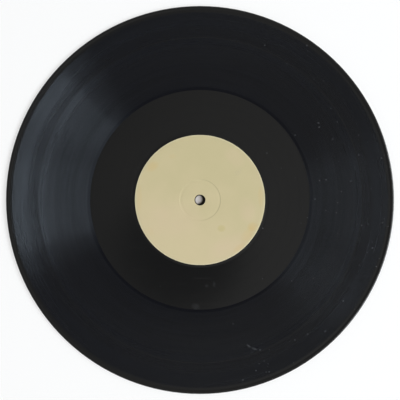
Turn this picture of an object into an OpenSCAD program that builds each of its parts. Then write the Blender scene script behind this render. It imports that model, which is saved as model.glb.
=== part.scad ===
// Twelve-inch long-playing record: a pressed vinyl disc with a paper label moulded into each side.
// Millimetres, +Z up. The origin is the centre of the spindle hole, on the plane that the record lies on.
// Side A faces up and side B faces down. Each side has its own groove, cut as it is seen from that side.

/* [Disc] */
// Outside diameter of the disc
disc_d = 301.6; // [300.8:0.2:302.4]
// Thickness over the label area and over the raised rim
disc_t = 2.1; // [1.9:0.05:2.6]
// Thickness of the thin band that carries the grooves
band_t = 1.35; // [1.1:0.05:1.6]
// Width of the raised rim, from its flat crown to the outer edge
rim_w = 1.9; // [1.5:0.1:2.2]
// Width of the slope between the raised rim and the thin band
rim_slope_w = 1; // [0.6:0.1:1.2]
// Width of the slope between the label area and the thin band
label_slope_w = 1.2; // [0.6:0.1:1.4]

/* [Spindle hole] */
// Diameter of the hole that fits over a turntable's spindle
hole_d = 7.264; // [7.214:0.01:7.314]
// Chamfer at each end of the spindle hole
hole_chamfer = 0.2; // [0.05:0.05:0.3]

/* [Labels] */
// Diameter of each paper label
label_d = 101; // [96:0.5:101.6]
// Thickness of the label paper
paper_t = 0.12; // [0.08:0.01:0.2]
// Diameter of the punched hole in each label
label_hole_d = 8.4; // [7.9:0.1:9]
// Width of the bare vinyl round the label before the slope begins
label_border_w = 0.4; // [0.2:0.1:0.8]
// Diameter of the circle along the middle of the pressing ring
press_ring_d = 30.4; // [28:0.1:40]
// Width of the floor of the pressing ring
press_ring_w = 1.2; // [1:0.1:4]
// Depth of the pressing ring
press_ring_depth = 0.06; // [0.04:0.01:0.12]
// Width of each sloping side of the pressing ring
press_ring_slope_w = 0.2; // [0.1:0.05:0.4]

/* [Grooves] */
// Depth of every groove, which is V-shaped with a right angle at its floor
groove_depth = 0.05; // [0.03:0.005:0.08]
// Radius at which the recorded band begins
music_start_r = 146.05; // [145.65:0.1:146.35]
// Radius of the plain turn between the two recorded tracks
track_gap_r = 126.4; // [95:0.1:140]
// Distance that the groove moves inwards in the plain turn between tracks
track_gap_pitch = 1; // [0.6:0.1:2]
// Distance that the run-out groove moves inwards in one turn
run_out_pitch = 8; // [4:0.4:10]
// Number of turns of the run-out groove, between the recorded band and the locked groove
run_out_turns = 4; // [2:1:4]
// Radius of the closed groove that holds the stylus at the end of a side
locked_r = 53.2; // [52.8:0.1:53.6]

/* [Hidden] */
$fn = 240;

// How far a cutting shape reaches past the surface that it cuts
overcut = 0.5;

disc_r = disc_d / 2;
rim_crown_r = disc_r - rim_w;
rim_foot_r = rim_crown_r - rim_slope_w;
recess_depth = (disc_t - band_t) / 2;
hole_r = hole_d / 2;
label_r = label_d / 2;
label_hole_r = label_hole_d / 2;
label_area_r = label_r + label_border_w;
label_foot_r = label_area_r + label_slope_w;
ring_inner_r = (press_ring_d - press_ring_w) / 2;
ring_outer_r = (press_ring_d + press_ring_w) / 2;

// The lead-in is one plain turn between the foot of the rim and the recorded band
lead_in_gap = 0.25;
lead_in_r = rim_foot_r - lead_in_gap;

// The run-out stops a little outside the locked groove, where the two already open into each other
run_out_join = 0.03;
run_out_end_r = locked_r + run_out_join;
run_out_start_r = run_out_end_r + run_out_turns * run_out_pitch;

// Half of the disc's section with its round edge, from the axis outwards
module disc_section() {
    edge_r = disc_t / 2;
    translate([disc_r - edge_r, edge_r])
        circle(r = edge_r);
    polygon([
        [0, 0],
        [label_area_r, 0],
        [label_foot_r, recess_depth],
        [rim_foot_r, recess_depth],
        [rim_crown_r, 0],
        [disc_r - edge_r, 0],
        [disc_r - edge_r, disc_t],
        [rim_crown_r, disc_t],
        [rim_foot_r, disc_t - recess_depth],
        [label_foot_r, disc_t - recess_depth],
        [label_area_r, disc_t],
        [0, disc_t]
    ]);
}

// Line along the top or the underside of the label paper, at the given depth below the label area.
// It runs outwards and follows the pressing ring.
function paper_line(depth) = [
    [label_hole_r, -depth],
    [ring_inner_r - press_ring_slope_w, -depth],
    [ring_inner_r, -depth - press_ring_depth],
    [ring_outer_r, -depth - press_ring_depth],
    [ring_outer_r + press_ring_slope_w, -depth],
    [label_r, -depth]
];

function reversed(points) = [for (i = [len(points) - 1 : -1 : 0]) points[i]];

// Places a shape made for side A, whose surface is at the given height, on both sides of the disc
module on_both_sides(height) {
    translate([0, 0, height])
        children();
    translate([0, 0, disc_t - height])
        rotate([180, 0, 0])
            children();
}

// Right-angled V of one groove, standing on its floor and reaching past the surface at height zero
module groove_section(radius) {
    top = groove_depth + overcut;
    polygon([
        [radius, -groove_depth],
        [radius + top, overcut],
        [radius - top, overcut]
    ]);
}

// Groove that winds inwards, counter-clockwise as seen from its side of the disc.
// It is made of half turns about two centres in turn, so it runs smoothly from each to the next.
module winding_groove(outer_r, inner_r, turns) {
    shift = (outer_r - inner_r) / turns / 4;
    for (half = [0 : 2 * turns - 1]) {
        upper = half % 2 == 0;
        translate([upper ? shift : -shift, 0, 0])
            rotate_extrude(angle = 180, start = upper ? 0 : 180)
                groove_section(outer_r - (2 * half + 1) * shift);
    }
}

// Closed groove at the end of a side
module locked_groove() {
    rotate_extrude()
        groove_section(locked_r);
}

// All the grooves of one side that are wide enough apart to be seen singly
module side_grooves() {
    winding_groove(lead_in_r, music_start_r, 1);
    winding_groove(track_gap_r + track_gap_pitch / 2, track_gap_r - track_gap_pitch / 2, 1);
    winding_groove(run_out_start_r, run_out_end_r, run_out_turns);
    locked_groove();
}

// Room for one label, open above
module label_recess() {
    rotate_extrude()
        polygon(concat(paper_line(paper_t), [[label_r, overcut], [label_hole_r, overcut]]));
}

// One paper label with its face at height zero
module label_paper() {
    rotate_extrude()
        polygon(concat(paper_line(paper_t), reversed(paper_line(0))));
}

// Spindle hole with a chamfer at each end
module spindle_hole() {
    translate([0, 0, -overcut])
        cylinder(r = hole_r, h = disc_t + 2 * overcut);
    on_both_sides(disc_t)
        translate([0, 0, -hole_chamfer])
            cylinder(r1 = hole_r, r2 = hole_r + hole_chamfer + overcut, h = hole_chamfer + overcut);
}

module vinyl_disc() {
    color("#1c1d20")
        difference() {
            rotate_extrude()
                disc_section();
            spindle_hole();
            on_both_sides(disc_t)
                label_recess();
            on_both_sides(disc_t - recess_depth)
                side_grooves();
        }
}

module label_side_a() {
    color("#ccc195")
        translate([0, 0, disc_t])
            label_paper();
}

module label_side_b() {
    color("#ccc195")
        rotate([180, 0, 0])
            label_paper();
}

vinyl_disc();
label_side_a();
label_side_b();
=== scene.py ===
"""Twelve-inch record: a pressed vinyl disc with one long groove on each side, and two paper labels."""

import math

import bmesh
import bpy
from bpy.props import FloatProperty, FloatVectorProperty, IntProperty, PointerProperty
from mathutils import Matrix, Vector, noise


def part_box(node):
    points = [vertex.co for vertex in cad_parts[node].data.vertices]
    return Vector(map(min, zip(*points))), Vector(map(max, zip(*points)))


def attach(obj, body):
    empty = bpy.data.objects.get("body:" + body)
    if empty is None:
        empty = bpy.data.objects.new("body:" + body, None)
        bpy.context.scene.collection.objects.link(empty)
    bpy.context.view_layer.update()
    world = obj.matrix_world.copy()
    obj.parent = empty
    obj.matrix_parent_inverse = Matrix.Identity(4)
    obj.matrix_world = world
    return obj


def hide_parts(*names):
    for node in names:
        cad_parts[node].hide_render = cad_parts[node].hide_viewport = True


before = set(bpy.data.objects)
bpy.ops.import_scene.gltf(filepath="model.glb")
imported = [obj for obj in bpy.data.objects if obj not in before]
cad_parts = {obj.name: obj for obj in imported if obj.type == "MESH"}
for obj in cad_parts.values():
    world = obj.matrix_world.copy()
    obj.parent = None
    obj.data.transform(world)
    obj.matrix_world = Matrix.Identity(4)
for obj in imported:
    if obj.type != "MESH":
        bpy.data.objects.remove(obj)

bl_info = {
    "name": "Long-playing record",
    "version": (1, 0, 0),
    "blender": (4, 5, 0),
    "location": "View3D > Sidebar > Record",
    "description": "Builds a vinyl record with its grooves, paper labels and a plain studio",
    "category": "Object",
}

MM = 0.001
FULL_TURN = 2 * math.pi
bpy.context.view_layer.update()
DISC_LOW, DISC_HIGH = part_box("vinyl_disc")
LABEL_LOW, LABEL_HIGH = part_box("label_side_a")

# Rows of the noise that sets how loud the music is, turn by turn: its passages and its beats
PASSAGES_ROW, BEATS_ROW = 206.5, 3.5

# Order of the finishes in the disc's material slots
PLAIN, SILENT, MUSIC = range(3)


def length(name, description, millimetres):
    """A size that a user may change, given in millimetres and held in metres."""
    return FloatProperty(
        name=name, description=description, default=millimetres * MM, unit="LENGTH", precision=5
    )


def colour(name, description, value):
    """A linear colour that a user may change."""
    return FloatVectorProperty(
        name=name, description=description, default=value, subtype="COLOR", size=3, min=0, max=1
    )


class RecordDiscSizes(bpy.types.PropertyGroup):
    """Sizes of the pressed vinyl"""

    radius: FloatProperty(
        name="Radius",
        description="Outer radius of the disc",
        default=min(DISC_HIGH[0] - DISC_LOW[0], DISC_HIGH[1] - DISC_LOW[1]) / 2,
        unit="LENGTH",
        precision=5,
    )
    thickness: FloatProperty(
        name="Thickness",
        description="Thickness over the label area and over the raised rim",
        default=DISC_HIGH[2] - DISC_LOW[2],
        unit="LENGTH",
        precision=5,
    )
    recess: length("Recess", "Depth of the grooved band below the rim and the label area", 0.375)
    rim_width: length("Rim width", "From the crown of the raised rim to the outer edge", 1.9)
    rim_slope: length("Rim slope", "Width of the slope between the rim and the grooved band", 1.0)
    crown_width: length("Crown width", "Width of the flat crown, before the rim rounds off", 0.7)
    label_border: length("Label border", "Width of the bare vinyl round the label", 0.4)
    label_slope: length("Label slope", "Width of the slope from the label area down", 1.2)
    hole_radius: length("Hole radius", "Radius of the spindle hole", 3.632)
    hole_chamfer: length("Hole chamfer", "Chamfer at each end of the spindle hole", 0.2)
    softness: length("Softness", "How far each moulded corner is rounded along its sides", 0.15)


class RecordGrooveSizes(bpy.types.PropertyGroup):
    """Sizes of the groove, from the rim to the locked groove"""

    lead_in: length("Lead-in", "Radius at which the groove begins", 147.65)
    music_start: length("Music starts", "Radius at which the first track begins", 146.05)
    gap_outer: length("Gap starts", "Radius at which the plain turn between the tracks begins", 126.9)
    gap_inner: length("Gap ends", "Radius at which the second track begins", 125.9)
    music_end: length("Music ends", "Radius at which the second track ends", 87.5)
    run_out: length("Run-out", "Radius at which the run-out groove begins", 85.23)
    locked: length("Locked groove", "Radius of the closed groove at the end of the side", 53.2)
    pitch: length("Pitch", "Mean distance between turns in the tracks", 0.58)
    run_out_turns: IntProperty(
        name="Run-out turns", description="Turns of the run-out groove", default=4, min=1, max=8
    )
    cut_width: length("Cut width", "Width of the single grooves outside the tracks", 0.1)
    cut_depth: length("Cut depth", "Depth of the single grooves outside the tracks", 0.05)
    track_width: length("Track groove width", "Width of each groove in the tracks", 0.36)
    track_depth: length("Track groove depth", "Depth of each groove in the tracks", 0.18)
    quiet_width: length("Quiet groove width", "Width of each groove after the last track", 0.44)
    quiet_depth: length("Quiet groove depth", "Depth of each groove after the last track", 0.19)
    steps: IntProperty(
        name="Steps", description="Straight steps in one turn", default=132, min=48, max=720
    )


class RecordLabelSizes(bpy.types.PropertyGroup):
    """Sizes of the paper labels"""

    radius: FloatProperty(
        name="Radius",
        description="Outer radius of the label",
        default=(LABEL_HIGH[0] - LABEL_LOW[0]) / 2,
        unit="LENGTH",
        precision=5,
    )
    hole_radius: length("Hole radius", "Radius of the punched hole", 4.2)
    paper: length("Paper", "Thickness of the paper", 0.12)
    ring_inner: length("Ring inside", "Inner radius of the pressing ring's floor", 14.6)
    ring_outer: length("Ring outside", "Outer radius of the pressing ring's floor", 15.8)
    ring_lead: length("Ring lead", "Width of the soft inner side of the pressing ring", 0.8)
    ring_slope: length("Ring slope", "Width of the crisp outer side of the pressing ring", 0.2)
    ring_depth: length("Ring depth", "Depth of the pressing ring", 0.06)
    echo_radius: length("Echo radius", "Radius of the fine line round the pressing ring", 17.4)
    echo_depth: length("Echo depth", "Depth of the fine line round the pressing ring", 0.02)
    cockle: length("Cockle", "How far the paper dips between its high spots", 0.012)


class RecordColours(bpy.types.PropertyGroup):
    """Colours of the vinyl and the paper"""

    vinyl: colour("Vinyl", "Body colour of the pressed vinyl", (0.0042, 0.0043, 0.0045))
    # Painted shade: a darker, bluer copy of the vinyl's body colour for the groove walls, where the
    # grooves trap the light
    groove: colour("Groove", "Body colour where the grooves trap the light", (0.0012, 0.0012, 0.0042))
    dust: colour("Dust", "Dust and lint on the vinyl", (0.115, 0.12, 0.13))
    paper: colour("Paper", "Cream label paper", (0.633, 0.538, 0.330))
    # Painted shade: a darker copy of the paper, laid on towards the top of the label
    painted_top_shade: colour("Sunned paper", "Paper where daylight has yellowed it", (0.572, 0.501, 0.289))
    blush: colour("Blush", "Pinkish patches of the paper", (0.656, 0.524, 0.351))
    foxing: colour("Foxing", "Orange age spots on the paper", (0.64, 0.40, 0.11))
    stain: colour("Stain", "Greenish spot on the paper", (0.50, 0.42, 0.15))
    smudge: colour("Smudge", "Grey smudge on the paper", (0.3, 0.29, 0.26))
    worn: colour("Worn", "Paler paper at the worn edge", (0.74, 0.69, 0.50))


class RecordStudio(bpy.types.PropertyGroup):
    """Camera, light and floor"""

    camera_height: length("Camera height", "Height of the camera above the record", 400)
    disc_share: FloatProperty(
        name="Disc share",
        description="Share of the picture's width that the disc takes up",
        default=0.9698,
        min=0.1,
        max=1,
        subtype="FACTOR",
    )
    key_power: FloatProperty(
        name="Window power", description="Power of the soft window light", default=185, unit="POWER"
    )
    key_distance: length("Window distance", "Distance of the soft window light", 4000)
    key_azimuth: FloatProperty(
        name="Window azimuth",
        description="Direction of the window light, anticlockwise from +X",
        default=math.radians(-13.2),
        subtype="ANGLE",
    )
    key_elevation: FloatProperty(
        name="Window elevation",
        description="Height of the window light above the floor, as an angle",
        default=math.radians(30),
        subtype="ANGLE",
    )
    key_half_width: FloatProperty(
        name="Window half width",
        description="Half of the window's width, as an angle seen from the record",
        default=math.radians(29.3),
        subtype="ANGLE",
    )
    key_half_height: FloatProperty(
        name="Window half height",
        description="Half of the window's height, as an angle seen from the record",
        default=math.radians(10),
        subtype="ANGLE",
    )


class Term:
    """A shader socket that takes part in Python expressions: each operator adds a Math node."""

    def __init__(self, recipe, socket):
        self.recipe = recipe
        self.socket = socket

    def math(self, operation, *values):
        """Adds the Math node of this operation, with its values in order."""
        return self.recipe.node("ShaderNodeMath", {"operation": operation}, dict(enumerate(values)))

    def __add__(self, other):
        return self.math("ADD", self, other)

    __radd__ = __add__

    def __sub__(self, other):
        return self.math("SUBTRACT", self, other)

    def __rsub__(self, other):
        return self.math("SUBTRACT", other, self)

    def __mul__(self, other):
        return self.math("MULTIPLY", self, other)

    __rmul__ = __mul__

    def __truediv__(self, other):
        return self.math("DIVIDE", self, other)

    def __pow__(self, other):
        return self.math("POWER", self, other)


class Recipe:
    """The node tree of one material or of the world, filled by name."""

    def __init__(self, tree):
        self.tree = tree
        tree.nodes.clear()

    def node(self, kind, settings=None, values=None, out=0):
        """Adds a node: first its settings, then the values or links of its sockets."""
        made = self.tree.nodes.new(kind)
        for name, value in (settings or {}).items():
            setattr(made, name, value)
        for key, value in (values or {}).items():
            if isinstance(value, Term):
                self.tree.links.new(value.socket, made.inputs[key])
            else:
                made.inputs[key].default_value = value
        return Term(self, made.outputs[out]) if made.outputs else None

    def mix(self, share, first, second):
        """Colour between first and second, by share."""
        return self.node("ShaderNodeMix", {"data_type": "RGBA"}, {0: share, 6: first, 7: second}, 2)

    def smooth(self, value, low, high, start=0.0, end=1.0):
        """Smooth step of value, from start at low to end at high."""
        ends = {"Value": value, "From Min": low, "From Max": high, "To Min": start, "To Max": end}
        return self.node("ShaderNodeMapRange", {"interpolation_type": "SMOOTHSTEP"}, ends)

    def vector(self, x, y, z):
        """A vector from three numbers or links."""
        return self.node("ShaderNodeCombineXYZ", None, {0: x, 1: y, 2: z})

    def grain(self, place, scale, detail=2.0, roughness=0.5):
        """Soft noise between 0 and 1, whose spots are about 1 / scale metres wide."""
        values = {"Vector": place, "Scale": scale, "Detail": detail, "Roughness": roughness}
        return self.node("ShaderNodeTexNoise", None, values)

    def shader(self, constants, varying):
        """A surface shader: constants on its own sockets, varying values linked."""
        return self.node("ShaderNodeBsdfPrincipled", None, {**constants, **varying})

    def finish(self, shader):
        """Ends the material with this shader."""
        self.node("ShaderNodeOutputMaterial", None, {"Surface": shader})


def rgba(value):
    """A colour with full alpha."""
    return (*value, 1.0)


def new_recipe(name):
    """A new material and its empty node tree."""
    material = bpy.data.materials.new(name)
    material.use_nodes = True
    return material, Recipe(material.node_tree)


def places(recipe):
    """Place on the record in metres, its parts, and the distance from the axis."""
    place = recipe.node("ShaderNodeTexCoord", None, None, "Object")
    x, y = (recipe.node("ShaderNodeSeparateXYZ", None, {0: place}, axis) for axis in (0, 1))
    radius = (x * x + y * y) ** 0.5
    return place, x, y, radius


# Lint that lies on side A, and one broad faint pale patch on the run-out below the label, as
# (x, y, length, width, turn, strength) in millimetres and degrees
LINT_AND_PALE_PATCH = (
    (111.2, -78.3, 1.6, 1.2, 20, 1.7),
    (37.7, -113.2, 5.0, 1.9, -35, 0.35),
    (42.2, -115.5, 6.0, 2.0, -20, 0.4),
    (46.6, -116.3, 1.6, 1.2, 0, 1.0),
    (40.3, -118.2, 2.0, 1.6, 0, 0.2),
    (141.6, -17.6, 2.1, 1.8, 0, 0.4),
    (125.6, -19.7, 1.6, 1.3, 60, 1.0),
    (133.8, -37.2, 2.1, 1.6, 0, 0.7),
    (33.3, -139.7, 2.2, 1.6, 30, 0.5),
    (83.6, -104.2, 2.2, 1.6, 80, 0.65),
    (97.3, -101.9, 2.3, 1.8, 10, 0.4),
    (51.4, -133.5, 2.0, 1.8, 0, 0.2),
    (92.5, 56.5, 1.7, 1.4, 45, 0.6),
    (92.0, 59.8, 1.9, 1.4, 0, 0.6),
    (73.8, 50.3, 1.8, 1.5, 0, 0.5),
    (103.0, 47.3, 2.0, 1.7, 0, 0.4),
    (82.9, 119.9, 2.0, 1.7, 0, 0.4),
    (97.9, 15.7, 2.0, 1.4, 15, 0.6),
    (117.2, 14.6, 2.5, 1.6, -10, 0.4),
    (89.3, 0.7, 1.4, 1.1, 30, 1.0),
    (146.0, -20.5, 1.5, 1.2, 0, 0.3),
    # A broad, faint pale patch on the run-out below the label, laid on like the lint
    (-3.3, -82.7, 8.2, 5.8, -15, 0.09),
    (11.0, -65.5, 5.4, 2.9, 95, 0.08),
    (5.2, -66.7, 3.5, 3.2, 20, 0.08),
)


def spot(recipe, x, y, centre, size, turn=0.0):
    """Soft oval spot, 1 in its middle and 0 past its edge. Sizes in millimetres."""
    across, up = x - centre[0] * MM, y - centre[1] * MM
    cosine, sine = math.cos(math.radians(turn)), math.sin(math.radians(turn))
    along = (across * cosine + up * sine) / (size[0] * MM)
    aside = (up * cosine - across * sine) / (size[1] * MM)
    return recipe.smooth(along * along + aside * aside, 1.0, 0.0)


def dust_cover(recipe, place, x, y):
    """Share of the vinyl under the dust colour: fine specks, thicker to the right, lint and a pale
    patch.
    """
    cells_per_metre, clouds_per_metre, grit_per_metre = 210.0, 22.0, 900.0
    fewest, most = 0.004, 0.2
    growth, inner_edge, outer_edge = 0.08, 0.02, 0.05
    faintest, swing = 0.14, 0.32
    lint_gaps = 0.3

    cells = {"Vector": place, "Scale": cells_per_metre, "Randomness": 1.0}
    near = recipe.node("ShaderNodeTexVoronoi", {"voronoi_dimensions": "2D"}, cells, "Distance")
    pick = recipe.node("ShaderNodeTexVoronoi", {"voronoi_dimensions": "2D"}, cells, "Color")
    chance = recipe.node("ShaderNodeSeparateColor", None, {0: pick}, 2)
    clouds = recipe.grain(place, clouds_per_metre, 3.0)
    share = recipe.smooth(x * 6.0 - y * 2.0 + clouds, 0.5, 1.7, fewest, most)
    size = 1 - chance / share
    chosen = size.math("GREATER_THAN", size, 0.0)
    reach = size * size * growth
    specks = recipe.smooth(near, reach + outer_edge, reach + inner_edge) * chosen
    cover = specks * (size * swing + faintest)

    grit = recipe.smooth(recipe.grain(place, grit_per_metre, 3.0), 0.42, 0.62)
    for along, up, long, wide, turn, strength in LINT_AND_PALE_PATCH:
        lint = spot(recipe, x, y, (along, up), (long / 2, wide / 2), turn) * strength
        cover = cover.math("MAXIMUM", cover, lint * (grit * lint_gaps + (1 - lint_gaps)))
    return cover


def scuffs(recipe, place):
    """Fine hairline marks from sleeves and handling, 1 on a mark and 0 elsewhere."""
    directions = (0.5, 1.9, 2.9)
    along_marks, across_marks = 16.0, 420.0
    rare, plain = 0.655, 0.72
    total = None
    for number, turn in enumerate(directions):
        spin = {"Vector": place, "Rotation": (0, 0, turn), "Scale": (along_marks, across_marks, 1.0)}
        lines = recipe.node("ShaderNodeMapping", {"vector_type": "POINT"}, spin)
        marks = recipe.smooth(recipe.grain(lines, 1.0 + number * 0.13, 2.0), rare, plain)
        total = marks if total is None else total.math("MAXIMUM", total, marks)
    return total


def plain_vinyl(colours):
    """Smooth pressed vinyl: the run-out, the rim and the hole."""
    material, recipe = new_recipe("plain_vinyl")
    polished, by_haze, by_marks, by_dust = 0.085, 0.05, 0.12, 0.5
    place, x, y, _ = places(recipe)
    dust = dust_cover(recipe, place, x, y)
    marks = scuffs(recipe, place)
    haze = recipe.grain(place, 55.0, 4.0)
    base = recipe.mix(dust, rgba(colours.vinyl), rgba(colours.dust))
    ripple = {"Strength": 0.06, "Distance": 0.6 * MM, "Height": recipe.grain(place, 38.0, 1.0)}
    varying = {
        "Base Color": base,
        "Roughness": polished + haze * by_haze + marks * by_marks + dust * by_dust,
        "Normal": recipe.node("ShaderNodeBump", None, ripple),
    }
    recipe.finish(recipe.shader({"IOR": 1.5, "Specular IOR Level": 0.5}, varying))
    return material


def turned_streaks(recipe, x, y, radius):
    """Two noises that run along the groove: long arcs, close together from turn to turn, and bands."""
    streaks = []
    for across, along in ((800.0, 2.0), (380.0, 1.2)):
        place = recipe.vector(radius * across, x / radius * along, y / radius * along)
        streaks.append(recipe.grain(place, 1.0, 3.0))
    return streaks


# Tint of the sheen on the grooves: painted light, a bluish tint that stands in for the colour of the
# daylight
BLUISH = (0.77, 0.88, 1.0, 1.0)


def grooved_vinyl(colours, name, roughness, levels, gap):
    """Vinyl of the groove's walls, which spreads light outwards and inwards but not along the turn.
    Its sheen swings between two levels with the loudness of the music, and is less outside the gap."""
    material, recipe = new_recipe(name)
    uneven, rougher_inside = 0.06, 0.03
    swing, track_swing = 0.32, 0.12
    place, x, y, radius = places(recipe)
    dust = dust_cover(recipe, place, x, y)
    arcs, bands = turned_streaks(recipe, x, y, radius)
    inward = recipe.smooth(radius, 150 * MM, 90 * MM)
    varying = {
        # Painted shade: the groove walls take the darker groove colour, under their dust
        "Base Color": recipe.mix(dust, rgba(colours.groove), rgba(colours.dust)),
        "Roughness": roughness - uneven / 2 + bands * uneven + inward * rougher_inside,
    }
    shaders = []
    for level in levels:
        constants = {
            "IOR": 1.5,
            "Specular IOR Level": level,
            # Painted light: the bluish tint of the daylight on the sheen
            "Specular Tint": BLUISH,
            "Anisotropic": 1.0,
            "Anisotropic Rotation": 0.25,
        }
        shaders.append(recipe.shader(constants, varying))
    streaks = recipe.smooth(bands * 0.5 + arcs * 0.5, 0.35, 0.65) * swing
    outwards = recipe.smooth(radius, 98 * MM, 120 * MM, 0.08, 0.30)
    first_track = recipe.smooth(radius, 124 * MM, 138 * MM) * track_swing
    beyond_gap = recipe.smooth(radius, gap, gap + 0.6 * MM) * track_swing
    loud = streaks + outwards + first_track - beyond_gap
    sheen = recipe.node("ShaderNodeMixShader", None, {0: loud, 1: shaders[0], 2: shaders[1]})
    recipe.finish(sheen)
    return material


# Age spots of the label, as (x, y, half length, half width, turn, strength) in millimetres and degrees
FOXING = (
    (-36.8, 26.0, 6.5, 4.2, 35, 0.16),
    (-21.5, 33.9, 3.6, 2.6, 0, 0.07),
    (40.9, -20.6, 5.2, 4.2, 20, 0.24),
    (37.0, -27.0, 9.0, 5.0, 48, 0.13),
    (30.5, -37.0, 7.0, 3.0, 35, 0.12),
    (-47.0, 1.0, 13.0, 2.6, 88, 0.12),
    (46.9, 2.5, 9.0, 2.6, 92, 0.13),
    (-38.5, -24.5, 5.0, 3.0, -60, 0.06),
)
# Broad patches of the label that are pinker than the rest, in the same form
BLUSH = (
    (-22.0, -16.0, 30.0, 16.0, 0, 0.75),
    (22.0, -36.0, 22.0, 10.0, 30, 0.8),
    (36.5, -7.5, 8.0, 12.0, 10, 0.7),
    (27.0, 33.0, 11.0, 7.0, -35, 0.6),
)
# Single marks, in the same form
STAIN = (16.6, -22.0, 4.0, 3.4, 0, 0.4)
SMUDGE = (29.6, 21.8, 4.5, 2.6, 50, 0.2)


def label_paper(colours, label):
    """Cream label paper: fibres, cloudy tone, pink patches, age spots, two marks and a worn edge.
    Painted shade makes the paper darker towards the top and a little to the right, in the cloudy tone.
    A line of painted shade runs along the outer side of the pressing ring, stronger on the right."""
    material, recipe = new_recipe("label_paper")
    fibre_share, fibre_shade, wear, painted_crease_darkness = 0.16, 0.80, 0.4, 0.5
    place, x, y, radius = places(recipe)

    def marked(base, row, colour, cover):
        """The paper with one soft spot of this colour, from its row of numbers."""
        along, up, long, wide, turn, strength = row
        tint = spot(recipe, x, y, (along, up), (long, wide), turn) * (cover * strength)
        return recipe.mix(tint, base, rgba(colour))

    clouds = recipe.grain(place, 45.0, 3.0)
    patches = recipe.grain(place, 70.0, 2.0)
    fibres = recipe.grain(place, 1500.0, 4.0, 0.65)
    # Painted shade: the paper turns darker towards the top and a little to the right, broken up by
    # cloudy noise
    painted_top_shade = recipe.smooth(y * 8.0 + x * 3.0 + clouds - 0.5, -0.4, 0.4)
    base = recipe.mix(painted_top_shade, rgba(colours.paper), rgba(colours.painted_top_shade))
    for row in BLUSH:
        base = marked(base, row, colours.blush, patches)
    base = recipe.mix(fibres * fibre_share, base, rgba([part * fibre_shade for part in colours.paper]))
    dense = patches * 2
    for row in FOXING:
        base = marked(base, row, colours.foxing, dense)
    base = marked(base, STAIN, colours.stain, 1)
    base = marked(base, SMUDGE, colours.smudge, recipe.smooth(fibres, 0.4, 0.7))
    worn = recipe.smooth(radius, 49.4 * MM, 50 * MM) * wear
    base = recipe.mix(worn, base, rgba(colours.worn))
    # Painted shade: a dark line along the outer side of the pressing ring, stronger towards the right
    beside = (radius - label.ring_outer - label.ring_slope / 2) / MM
    painted_crease_shade = recipe.smooth(beside * beside, 0.12, 0.0) * recipe.smooth(x, -4 * MM, 12 * MM, 0.05, 0.45)
    base = recipe.mix(painted_crease_shade, base, rgba([part * painted_crease_darkness for part in colours.paper]))
    relief = {"Strength": 0.35, "Distance": 0.06 * MM, "Height": fibres}
    varying = {
        "Base Color": base,
        "Roughness": 0.62 + fibres * 0.2,
        "Normal": recipe.node("ShaderNodeBump", None, relief),
    }
    recipe.finish(recipe.shader({"IOR": 1.45, "Specular IOR Level": 0.3}, varying))
    return material


class TurnedSurface:
    """Rings, spiral rows and faces round the Z axis, gathered before they become a mesh.
    Rows are joined in the order rim, top, hole, underside, so that faces look outwards."""

    def __init__(self, steps):
        self.steps = steps
        self.points = []
        self.faces = []
        self.finishes = []
        self.creases = []

    def point(self, radius, height, step):
        """One point at this step round the axis, counted anticlockwise from +X."""
        angle = FULL_TURN * (step % self.steps) / self.steps
        self.points.append((radius * math.cos(angle), radius * math.sin(angle), height))
        return len(self.points) - 1

    def ring(self, radius, height):
        """A closed ring, with its first point again at its end."""
        row = [self.point(radius, height, step) for step in range(self.steps)]
        return row + row[:1]

    def face(self, corners, finish):
        """One face from its corners in order."""
        self.faces.append(tuple(corners))
        self.finishes.append(finish)

    def join(self, before, after, finish):
        """Faces between two rows of equal length."""
        for k in range(len(before) - 1):
            self.face((before[k], before[k + 1], after[k + 1], after[k]), finish)

    def lathe(self, outline, finish, start=None):
        """Turns an outline of (radius, height, is_crease) round the axis, joined to the row start.
        Returns its last row."""
        row = start
        for radius, height, is_crease in outline:
            following = self.ring(radius, height)
            if is_crease:
                self.creases.append(following)
            if row:
                self.join(row, following, finish)
            row = following
        return row

    def mesh(self):
        """A bmesh of everything gathered, smooth but for its creases."""
        shape = bmesh.new()
        points = [shape.verts.new(point) for point in self.points]
        for corners, finish in zip(self.faces, self.finishes):
            face = shape.faces.new([points[k] for k in corners])
            face.material_index = finish
            face.smooth = True
        for row in self.creases:
            for k in range(len(row) - 1):
                shape.edges.get((points[row[k]], points[row[k + 1]])).smooth = False
        return shape


def softened(corners, reach, parts=3):
    """An outline through corners of (radius, height), the inner ones rounded over reach each way."""
    outline = [(*corners[0], False)]
    for before, corner, after in zip(corners, corners[1:], corners[2:]):
        middle = Vector(corner)
        ends = [middle + (Vector(side) - middle).normalized() * reach for side in (before, after)]
        for k in range(parts + 1):
            t = k / parts
            bend = ends[0] * (1 - t) ** 2 + middle * 2 * t * (1 - t) + ends[1] * t ** 2
            outline.append((*bend, False))
    return outline + [(*corners[-1], False)]


def sharp(corners):
    """An outline through corners of (radius, height) that keeps them all sharp."""
    return [(*corner, True) for corner in corners]


def divided(outline, spacing):
    """The same outline, with no straight stretch longer than spacing."""
    result = outline[:1]
    for before, after in zip(outline, outline[1:]):
        start, end = Vector(before[:2]), Vector(after[:2])
        parts = math.ceil((end - start).length / spacing)
        result += [(*start.lerp(end, k / parts), False) for k in range(1, parts)]
        result.append(after)
    return result


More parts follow.
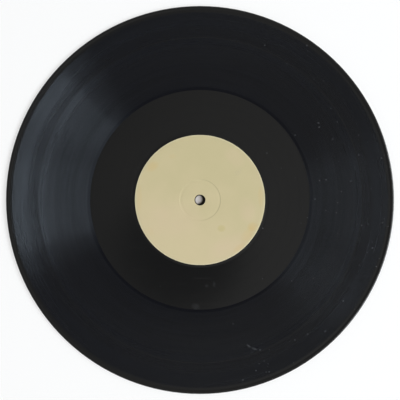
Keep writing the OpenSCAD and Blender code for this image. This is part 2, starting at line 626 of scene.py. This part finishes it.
def wind_turns(grooves):
    """Radius, finish and groove size at the start of each turn, from lead-in to locked groove."""
    single = (grooves.cut_width, grooves.cut_depth)
    track = (grooves.track_width, grooves.track_depth)
    quiet = (grooves.quiet_width, grooves.quiet_depth)
    lead_in = [size * 0.35 for size in track]
    unevenness, just_clear = 0.1, 1.1
    turns = []

    def loudness(number):
        """Smooth random value between about -1 and 1 for each turn."""
        passages = noise.noise(Vector((number * 0.08, PASSAGES_ROW, 0.0)))
        beats = noise.noise(Vector((number * 0.31, BEATS_ROW, 0.0)))
        return 2 * passages + 0.7 * beats

    def wind(start, end, count, finish, size, swing=0.0):
        """Adds count turns from start to end, where louder turns lie wider apart and are cut deeper."""
        swell = [1 + swing * loudness(len(turns) + k) for k in range(count)]
        travelled = 0.0
        for share in swell:
            place = start + (end - start) * travelled / sum(swell)
            turns.append((place, finish, (size[0], size[1] * (1 + share) / 2)))
            travelled += share

    def fit(start, end):
        """Number of turns of the mean pitch between two radii."""
        return round((start - end) / grooves.pitch)

    outer, gap, inner = grooves.music_start, (grooves.gap_outer, grooves.gap_inner), grooves.music_end
    wind(grooves.lead_in, outer, 1, MUSIC, lead_in)
    wind(outer, gap[0], fit(outer, gap[0]), MUSIC, track, unevenness)
    wind(gap[0], gap[1], 1, MUSIC, track)
    wind(gap[1], inner, fit(gap[1], inner), MUSIC, track, unevenness)
    wind(inner, grooves.run_out, fit(inner, grooves.run_out), SILENT, quiet)
    run_out_end = grooves.locked + grooves.cut_width * just_clear
    wind(grooves.run_out, run_out_end, grooves.run_out_turns, PLAIN, single)
    turns.append((run_out_end, PLAIN, single))
    return turns


def cut_groove(surface, before, turns, height):
    """One groove wound inwards from the row before it to its last turn. Returns its rows and its end.
    Each turn moves inwards by half turns, and has an outer lip, a floor and an inner lip.
    A new groove size comes in over one turn, and briskly where the finish changes too."""
    brisk = 8
    steps = surface.steps
    rows = {"outer": [], "floor": [], "inner": []}
    for number, ((radius, finish, size), (next_radius, _, _)) in enumerate(zip(turns, turns[1:])):
        _, previous_finish, previous = turns[max(number - 1, 0)]
        pace = 1 if finish == previous_finish else brisk
        for step in range(steps + (number == len(turns) - 2)):
            half, part = divmod(2 * step / steps, 1)
            share = (half + (1 - math.cos(math.pi * part)) / 2) / 2
            centre = radius + (next_radius - radius) * share
            ease = min(1.0, pace * step / steps)
            width, depth = (old + (new - old) * ease for old, new in zip(previous, size))
            rows["outer"].append(surface.point(centre + width / 2, height, step))
            rows["floor"].append(surface.point(centre, height - depth, step))
            rows["inner"].append(surface.point(centre - width / 2, height, step))
    outer, floor, inner = rows.values()
    surface.creases.extend(rows.values())
    last = len(outer) - 1
    finishes = [finish for _, finish, _ in turns]
    for number in range(len(turns) - 1):
        these = slice(number * steps, (number + 1) * steps + 1)
        surface.join(outer[these], floor[these], finishes[number])
        surface.join(floor[these], inner[these], finishes[number])
        if number < len(turns) - 2:
            land = slice((number + 1) * steps, (number + 2) * steps + 1)
            surface.join(inner[these], outer[land], PLAIN)
    surface.face((inner[0], outer[0], floor[0]), finishes[0])
    surface.creases.append((inner[0], outer[0], floor[0], inner[0]))
    surface.join(before[:-1], outer[:steps], PLAIN)
    surface.face(
        (before[steps - 1], before[0], outer[0], inner[0], outer[steps], outer[steps - 1]), PLAIN
    )
    return outer, floor, inner, last


def press_side(disc, grooves, label):
    """One side of the disc, from the middle of its edge to the middle of the hole's wall."""
    surface = TurnedSurface(grooves.steps)
    top, middle = disc.thickness, disc.thickness / 2
    band = top - disc.recess
    crown = disc.radius - disc.rim_width
    foot = crown - disc.rim_slope
    edge = crown + disc.crown_width
    reach = disc.radius - edge
    edge_parts, clearance = 12, 0.01 * MM
    edge_round = []
    for k in range(edge_parts):
        angle = math.pi / 2 * k / edge_parts
        edge_round.append((edge + reach * math.cos(angle), middle + middle * math.sin(angle), False))
    row = surface.lathe(edge_round, PLAIN)
    corners = [(edge, top), (crown, top), (foot, band), (foot - disc.softness, band)]
    slope = softened(corners, disc.softness)[:-1]
    row = surface.lathe(slope, PLAIN, row)

    turns = wind_turns(grooves)
    outer, floor, inner, last = cut_groove(surface, row, turns, band)
    steps, half_cut = surface.steps, grooves.cut_width / 2
    ring = surface.lathe(sharp([(grooves.locked + half_cut, band)]), PLAIN)
    surface.face((outer[last], inner[last], floor[last]), PLAIN)
    surface.creases.append((outer[last], inner[last], floor[last], outer[last]))
    start = last - steps
    corners = (inner[start], inner[start + 1], ring[1], ring[0], inner[last], outer[last])
    surface.face(corners, PLAIN)
    surface.join(inner[start + 1:last + 1], ring[1:], PLAIN)

    locked = [(grooves.locked, band - grooves.cut_depth), (grooves.locked - half_cut, band)]
    row = surface.lathe(sharp(locked), PLAIN, ring)
    seat = label.radius + clearance
    flat = seat + disc.label_border
    label_foot = flat + disc.label_slope
    corners = [(label_foot + disc.softness, band), (label_foot, band), (flat, top), (seat, top)]
    row = surface.lathe(softened(corners, disc.softness)[:-1], PLAIN, row)
    seat_floor = top - label.paper
    lip = label.hole_radius - clearance
    seat_line = [(seat, top), (seat, seat_floor), *press_ring(label, seat_floor)]
    seat_line += [(lip, seat_floor), (lip, top)]
    row = surface.lathe(sharp(seat_line), PLAIN, row)
    wall = [(disc.hole_radius + disc.hole_chamfer, top),
            (disc.hole_radius, top - disc.hole_chamfer), (disc.hole_radius, middle)]
    surface.lathe(sharp(wall[:-1]) + [(*wall[-1], False)], PLAIN, row)
    return surface.mesh()


def new_piece(name, shape, materials, node):
    """Makes the object of a finished bmesh, in place of a CAD node."""
    mesh = bpy.data.meshes.new(name)
    shape.to_mesh(mesh)
    shape.free()
    for material in materials:
        mesh.materials.append(material)
    piece = bpy.data.objects.new(name, mesh)
    bpy.context.collection.objects.link(piece)
    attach(piece, "root")
    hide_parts(node)
    return piece


def turn_over(shape, parts, thickness):
    """Turns the given parts of a shape over about X, so that the disc's two faces change places."""
    centre = Vector((0, 0, thickness / 2))
    bmesh.ops.rotate(shape, cent=centre, matrix=Matrix.Rotation(math.pi, 3, "X"), verts=parts)


class RECORD_OT_press_disc(bpy.types.Operator):
    """Press the vinyl disc, with its rim, its label seats, its hole and the groove of each side"""

    bl_idname = "record.press_disc"
    bl_label = "Press the disc"

    def execute(self, context):
        settings = context.scene
        disc, grooves = settings.record_disc, settings.record_grooves
        colours = settings.record_colours
        welded = 0.0005 * MM
        shape = press_side(disc, grooves, settings.record_label)
        copy = bmesh.ops.duplicate(shape, geom=shape.verts[:] + shape.edges[:] + shape.faces[:])
        other = [part for part in copy["geom"] if isinstance(part, bmesh.types.BMVert)]
        turn_over(shape, other, disc.thickness)
        bmesh.ops.remove_doubles(shape, verts=shape.verts[:], dist=welded)
        silent = grooved_vinyl(
            colours, "silent_groove_vinyl", roughness=0.26, levels=(0.2, 0.3), gap=grooves.music_start
        )
        music = grooved_vinyl(
            colours, "music_groove_vinyl", roughness=0.265, levels=(0.34, 0.8), gap=grooves.gap_inner
        )
        finishes = (plain_vinyl(colours), silent, music)
        new_piece("pressed_vinyl_disc", shape, finishes, "vinyl_disc")
        return {"FINISHED"}


def press_ring(label, height):
    """Corners of the pressing ring, inwards, on a surface at this height."""
    floor = height - label.ring_depth
    return [
        (label.ring_outer + label.ring_slope, height),
        (label.ring_outer, floor),
        (label.ring_inner, floor),
        (label.ring_inner - label.ring_lead, height),
    ]


def cut_label(label, top, steps):
    """One label as a closed thin sheet whose face follows the pressing ring."""
    surface = TurnedSurface(steps)
    clearance, worn, echo_half = 0.02 * MM, 0.05 * MM, 0.12 * MM
    softness, spacing, cockles_per_metre = 0.03 * MM, 1.6 * MM, 60
    edge, hole, echo = label.radius - clearance, label.hole_radius, label.echo_radius
    ring = press_ring(label, top)
    corners = [(edge, top - worn), (edge - worn, top)]
    corners += [(echo + echo_half, top), (echo, top - label.echo_depth), (echo - echo_half, top)]
    corners += ring + [(hole + worn, top), (hole, top - worn)]
    face = divided(softened(corners, softness), spacing)
    back = [(hole, top), *reversed(ring), (edge, top)]
    row = surface.lathe(face + [(radius, height - label.paper, False) for radius, height in back], 0)
    surface.join(row, list(range(steps)) + [0], 0)
    for k, (x, y, z) in enumerate(surface.points[: len(face) * steps]):
        dip = noise.noise(Vector((x, y, 0)) * cockles_per_metre) * 0.5 + 0.5
        surface.points[k] = (x, y, z - label.cockle * dip)
    return surface.mesh()


class RECORD_OT_mould_labels(bpy.types.Operator):
    """Mould a paper label into each side of the disc"""

    bl_idname = "record.mould_labels"
    bl_label = "Mould the labels"

    def execute(self, context):
        settings = context.scene
        thickness = settings.record_disc.thickness
        paper = label_paper(settings.record_colours, settings.record_label)
        for node in ("label_side_a", "label_side_b"):
            shape = cut_label(settings.record_label, thickness, settings.record_grooves.steps)
            if node == "label_side_b":
                turn_over(shape, shape.verts[:], thickness)
            new_piece("paper_" + node, shape, [paper], node)
        return {"FINISHED"}


def seen_directly(recipe):
    """1 for what the camera sees, also mirrored or through glass, and 0 for light on the record."""
    kinds = ("Is Camera Ray", "Is Glossy Ray", "Is Transmission Ray")
    camera, glossy, through = (recipe.node("ShaderNodeLightPath", None, None, kind) for kind in kinds)
    return camera.math("MAXIMUM", camera, glossy.math("MAXIMUM", glossy, through))


def lay_floor():
    """Pale floor, wide enough to fill the picture from any side. Where the record hides it, it is
    dark with painted shade, but for a painted pool of light that shows through the spindle hole,
    with the painted shadow of the hole's rim over its right side."""
    half, drop = 3.8, 0.1 * MM
    lit_x, lit_y, lit_radius, lit_edge = -1.7 * MM, 0.55 * MM, 3.5 * MM, 0.7 * MM
    # Painted shade under the record, and a painted pool of light with the painted shadow of the hole's
    # rim where the spindle hole shows the floor
    pale, painted_light, painted_shade = (0.97, 0.97, 0.97, 1), (0.78, 0.72, 0.68, 1), (0.035, 0.03, 0.02, 1)
    near, far, glow_near = 0.5, 2.5, 0.6
    shape = bmesh.new()
    corners = [shape.verts.new((x, y, -drop)) for x, y in
               ((-half, -half), (half, -half), (half, half), (-half, half))]
    shape.faces.new(corners)
    mesh = bpy.data.meshes.new("studio_floor")
    shape.to_mesh(mesh)
    shape.free()
    material, recipe = new_recipe("studio_floor_paint")
    _, x, y, radius = places(recipe)
    hidden = recipe.smooth(radius, 140 * MM, 100 * MM)
    from_lit = ((x - lit_x) * (x - lit_x) + (y - lit_y) * (y - lit_y)) ** 0.5
    painted_rim_shadow = recipe.smooth(from_lit, lit_radius - lit_edge, lit_radius + lit_edge)
    base = recipe.mix(hidden, pale, recipe.mix(painted_rim_shadow, painted_light, painted_shade))
    paint = recipe.shader({"Roughness": 0.9, "Specular IOR Level": 0.0}, {"Base Color": base})
    glow = recipe.node("ShaderNodeEmission", None, {"Color": (1, 1, 1, 1), "Strength": 1.0})
    share = seen_directly(recipe) * (1 - hidden) * recipe.smooth(radius, near, far, glow_near, 1.0)
    recipe.finish(recipe.node("ShaderNodeMixShader", None, {0: share, 1: paint, 2: glow}))
    mesh.materials.append(material)
    floor = bpy.data.objects.new("studio_floor", mesh)
    bpy.context.collection.objects.link(floor)


# Colour of the window's lamps
DAYLIGHT = (0.95, 1.0, 1.04)


def hang_lamp(studio, name, aside, half_width, strength):
    """Soft flat lamp of the window, turned aside from the window's middle."""
    lamp = bpy.data.lights.new(name, "AREA")
    lamp.shape = "RECTANGLE"
    flat = studio.key_distance * math.cos(studio.key_elevation)
    lamp.size = 2 * flat * math.tan(half_width)
    lamp.size_y = 2 * studio.key_distance * math.tan(studio.key_half_height)
    lamp.energy = strength * math.tan(half_width)
    lamp.color = DAYLIGHT
    light = bpy.data.objects.new(name, lamp)
    azimuth = studio.key_azimuth + aside
    light.location = (
        flat * math.cos(azimuth),
        flat * math.sin(azimuth),
        studio.key_distance * math.sin(studio.key_elevation),
    )
    light.rotation_euler = light.location.to_track_quat("Z", "Y").to_euler()
    light.visible_camera = False
    bpy.context.collection.objects.link(light)


def hang_window_light(studio):
    """Window light from the right, which draws the sheen across the grooves.
    It has two panes with a dimmer bar between, in a fainter and wider glow."""
    bar_aside, half_bar, glow_margin = (math.radians(angle) for angle in (-6, 6, 8))
    left_share, right_share, bar_share, glow_share = 1.05, 1.02, 0.68, 0.3
    half = studio.key_half_width
    half_left = (half - bar_aside - half_bar) / 2
    half_right = (half + bar_aside - half_bar) / 2
    strength = studio.key_power / math.tan(half)
    pane = strength * (1 - glow_share)
    hang_lamp(studio, "window_pane_left", half - half_left, half_left, pane * left_share)
    hang_lamp(studio, "window_pane_right", half_right - half, half_right, pane * right_share)
    hang_lamp(studio, "window_bar", bar_aside, half_bar, pane * bar_share)
    hang_lamp(studio, "window_glow", 0, half + glow_margin, strength * glow_share)


# Colours of the sky, and its soft round places as (azimuth, elevation, reach, core, strength),
# with the angles in degrees and the core as a share of the reach
HORIZON, OVERHEAD, DARK = (0.99, 0.99, 0.99, 1), (0.35, 0.345, 0.33, 1), (0.13, 0.13, 0.13, 1)
PALE_PLACE = (-45, 66, 32, 0, 0.15)
DARK_PLACES = ((135, 56, 30, 0.3, 0.6), (205, 56, 30, 0.3, 0.5), (-111, 84, 9, 0.4, 1))


def paint_sky():
    """Even light from all round: dim overhead and pale towards the horizon.
    One soft place aside is paler than the rest. Three are darker: two opposite, one overhead."""
    world = bpy.data.worlds.new("studio_sky")
    world.use_nodes = True
    recipe = Recipe(world.node_tree)
    towards = recipe.node("ShaderNodeTexCoord", None, None, "Generated")
    along, across, up = (
        recipe.node("ShaderNodeSeparateXYZ", None, {0: towards}, axis) for axis in range(3)
    )

    def soft_place(azimuth, elevation, reach, core, strength):
        """The strength inside the core of this place, and 0 past its reach."""
        azimuth, elevation, reach = (math.radians(angle) for angle in (azimuth, elevation, reach))
        aside = along * math.cos(azimuth) + across * math.sin(azimuth)
        near = aside * math.cos(elevation) + up * math.sin(elevation)
        return recipe.smooth(near, math.cos(reach), math.cos(core * reach), 0, strength)

    height = recipe.smooth(up, 0.04, 0.8) - soft_place(*PALE_PLACE)
    sky = recipe.mix(height, HORIZON, OVERHEAD)
    for place in DARK_PLACES:
        sky = recipe.mix(soft_place(*place), sky, DARK)
    light = recipe.node("ShaderNodeBackground", None, {"Color": sky, "Strength": 1.0})
    recipe.node("ShaderNodeOutputWorld", None, {"Surface": light})
    bpy.context.scene.world = world


def stand_camera(studio, disc):
    """Camera straight above the record, so that the disc takes up its share of the picture."""
    lens = bpy.data.cameras.new("camera_above")
    half_width = disc.radius / studio.disc_share
    lens.sensor_fit = "HORIZONTAL"
    lens.angle = 2 * math.atan(half_width / (studio.camera_height - disc.thickness / 2))
    camera = bpy.data.objects.new("camera_above", lens)
    camera.location = (0, 0, studio.camera_height)
    bpy.context.collection.objects.link(camera)
    bpy.context.scene.camera = camera


class RECORD_OT_set_studio(bpy.types.Operator):
    """Lay the pale floor and set the sky, the window light and the camera"""

    bl_idname = "record.set_studio"
    bl_label = "Set the studio"

    def execute(self, context):
        studio = context.scene.record_studio
        lay_floor()
        hang_window_light(studio)
        paint_sky()
        stand_camera(studio, context.scene.record_disc)
        context.scene.view_settings.view_transform = "Standard"
        return {"FINISHED"}


GROUPS = {
    "record_disc": RecordDiscSizes,
    "record_grooves": RecordGrooveSizes,
    "record_label": RecordLabelSizes,
    "record_colours": RecordColours,
    "record_studio": RecordStudio,
}


class RECORD_PT_panel(bpy.types.Panel):
    """Steps and sizes of the record"""

    bl_idname = "RECORD_PT_panel"
    bl_label = "Record"
    bl_space_type = "VIEW_3D"
    bl_region_type = "UI"
    bl_category = "Record"

    def draw(self, context):
        for operator in OPERATORS:
            self.layout.operator(operator.bl_idname)
        for name, group in GROUPS.items():
            box = self.layout.box()
            box.label(text=group.__doc__)
            for item in group.__annotations__:
                box.prop(getattr(context.scene, name), item)


OPERATORS = (RECORD_OT_press_disc, RECORD_OT_mould_labels, RECORD_OT_set_studio)
CLASSES = (*GROUPS.values(), *OPERATORS, RECORD_PT_panel)


def register():
    for item in CLASSES:
        bpy.utils.register_class(item)
    for name, group in GROUPS.items():
        setattr(bpy.types.Scene, name, PointerProperty(type=group))


def unregister():
    for name in GROUPS:
        delattr(bpy.types.Scene, name)
    for item in reversed(CLASSES):
        bpy.utils.unregister_class(item)


def main():
    """Builds the whole record and its studio."""
    register()
    bpy.ops.record.press_disc()
    bpy.ops.record.mould_labels()
    bpy.ops.record.set_studio()


if __name__ == "__main__":
    main()
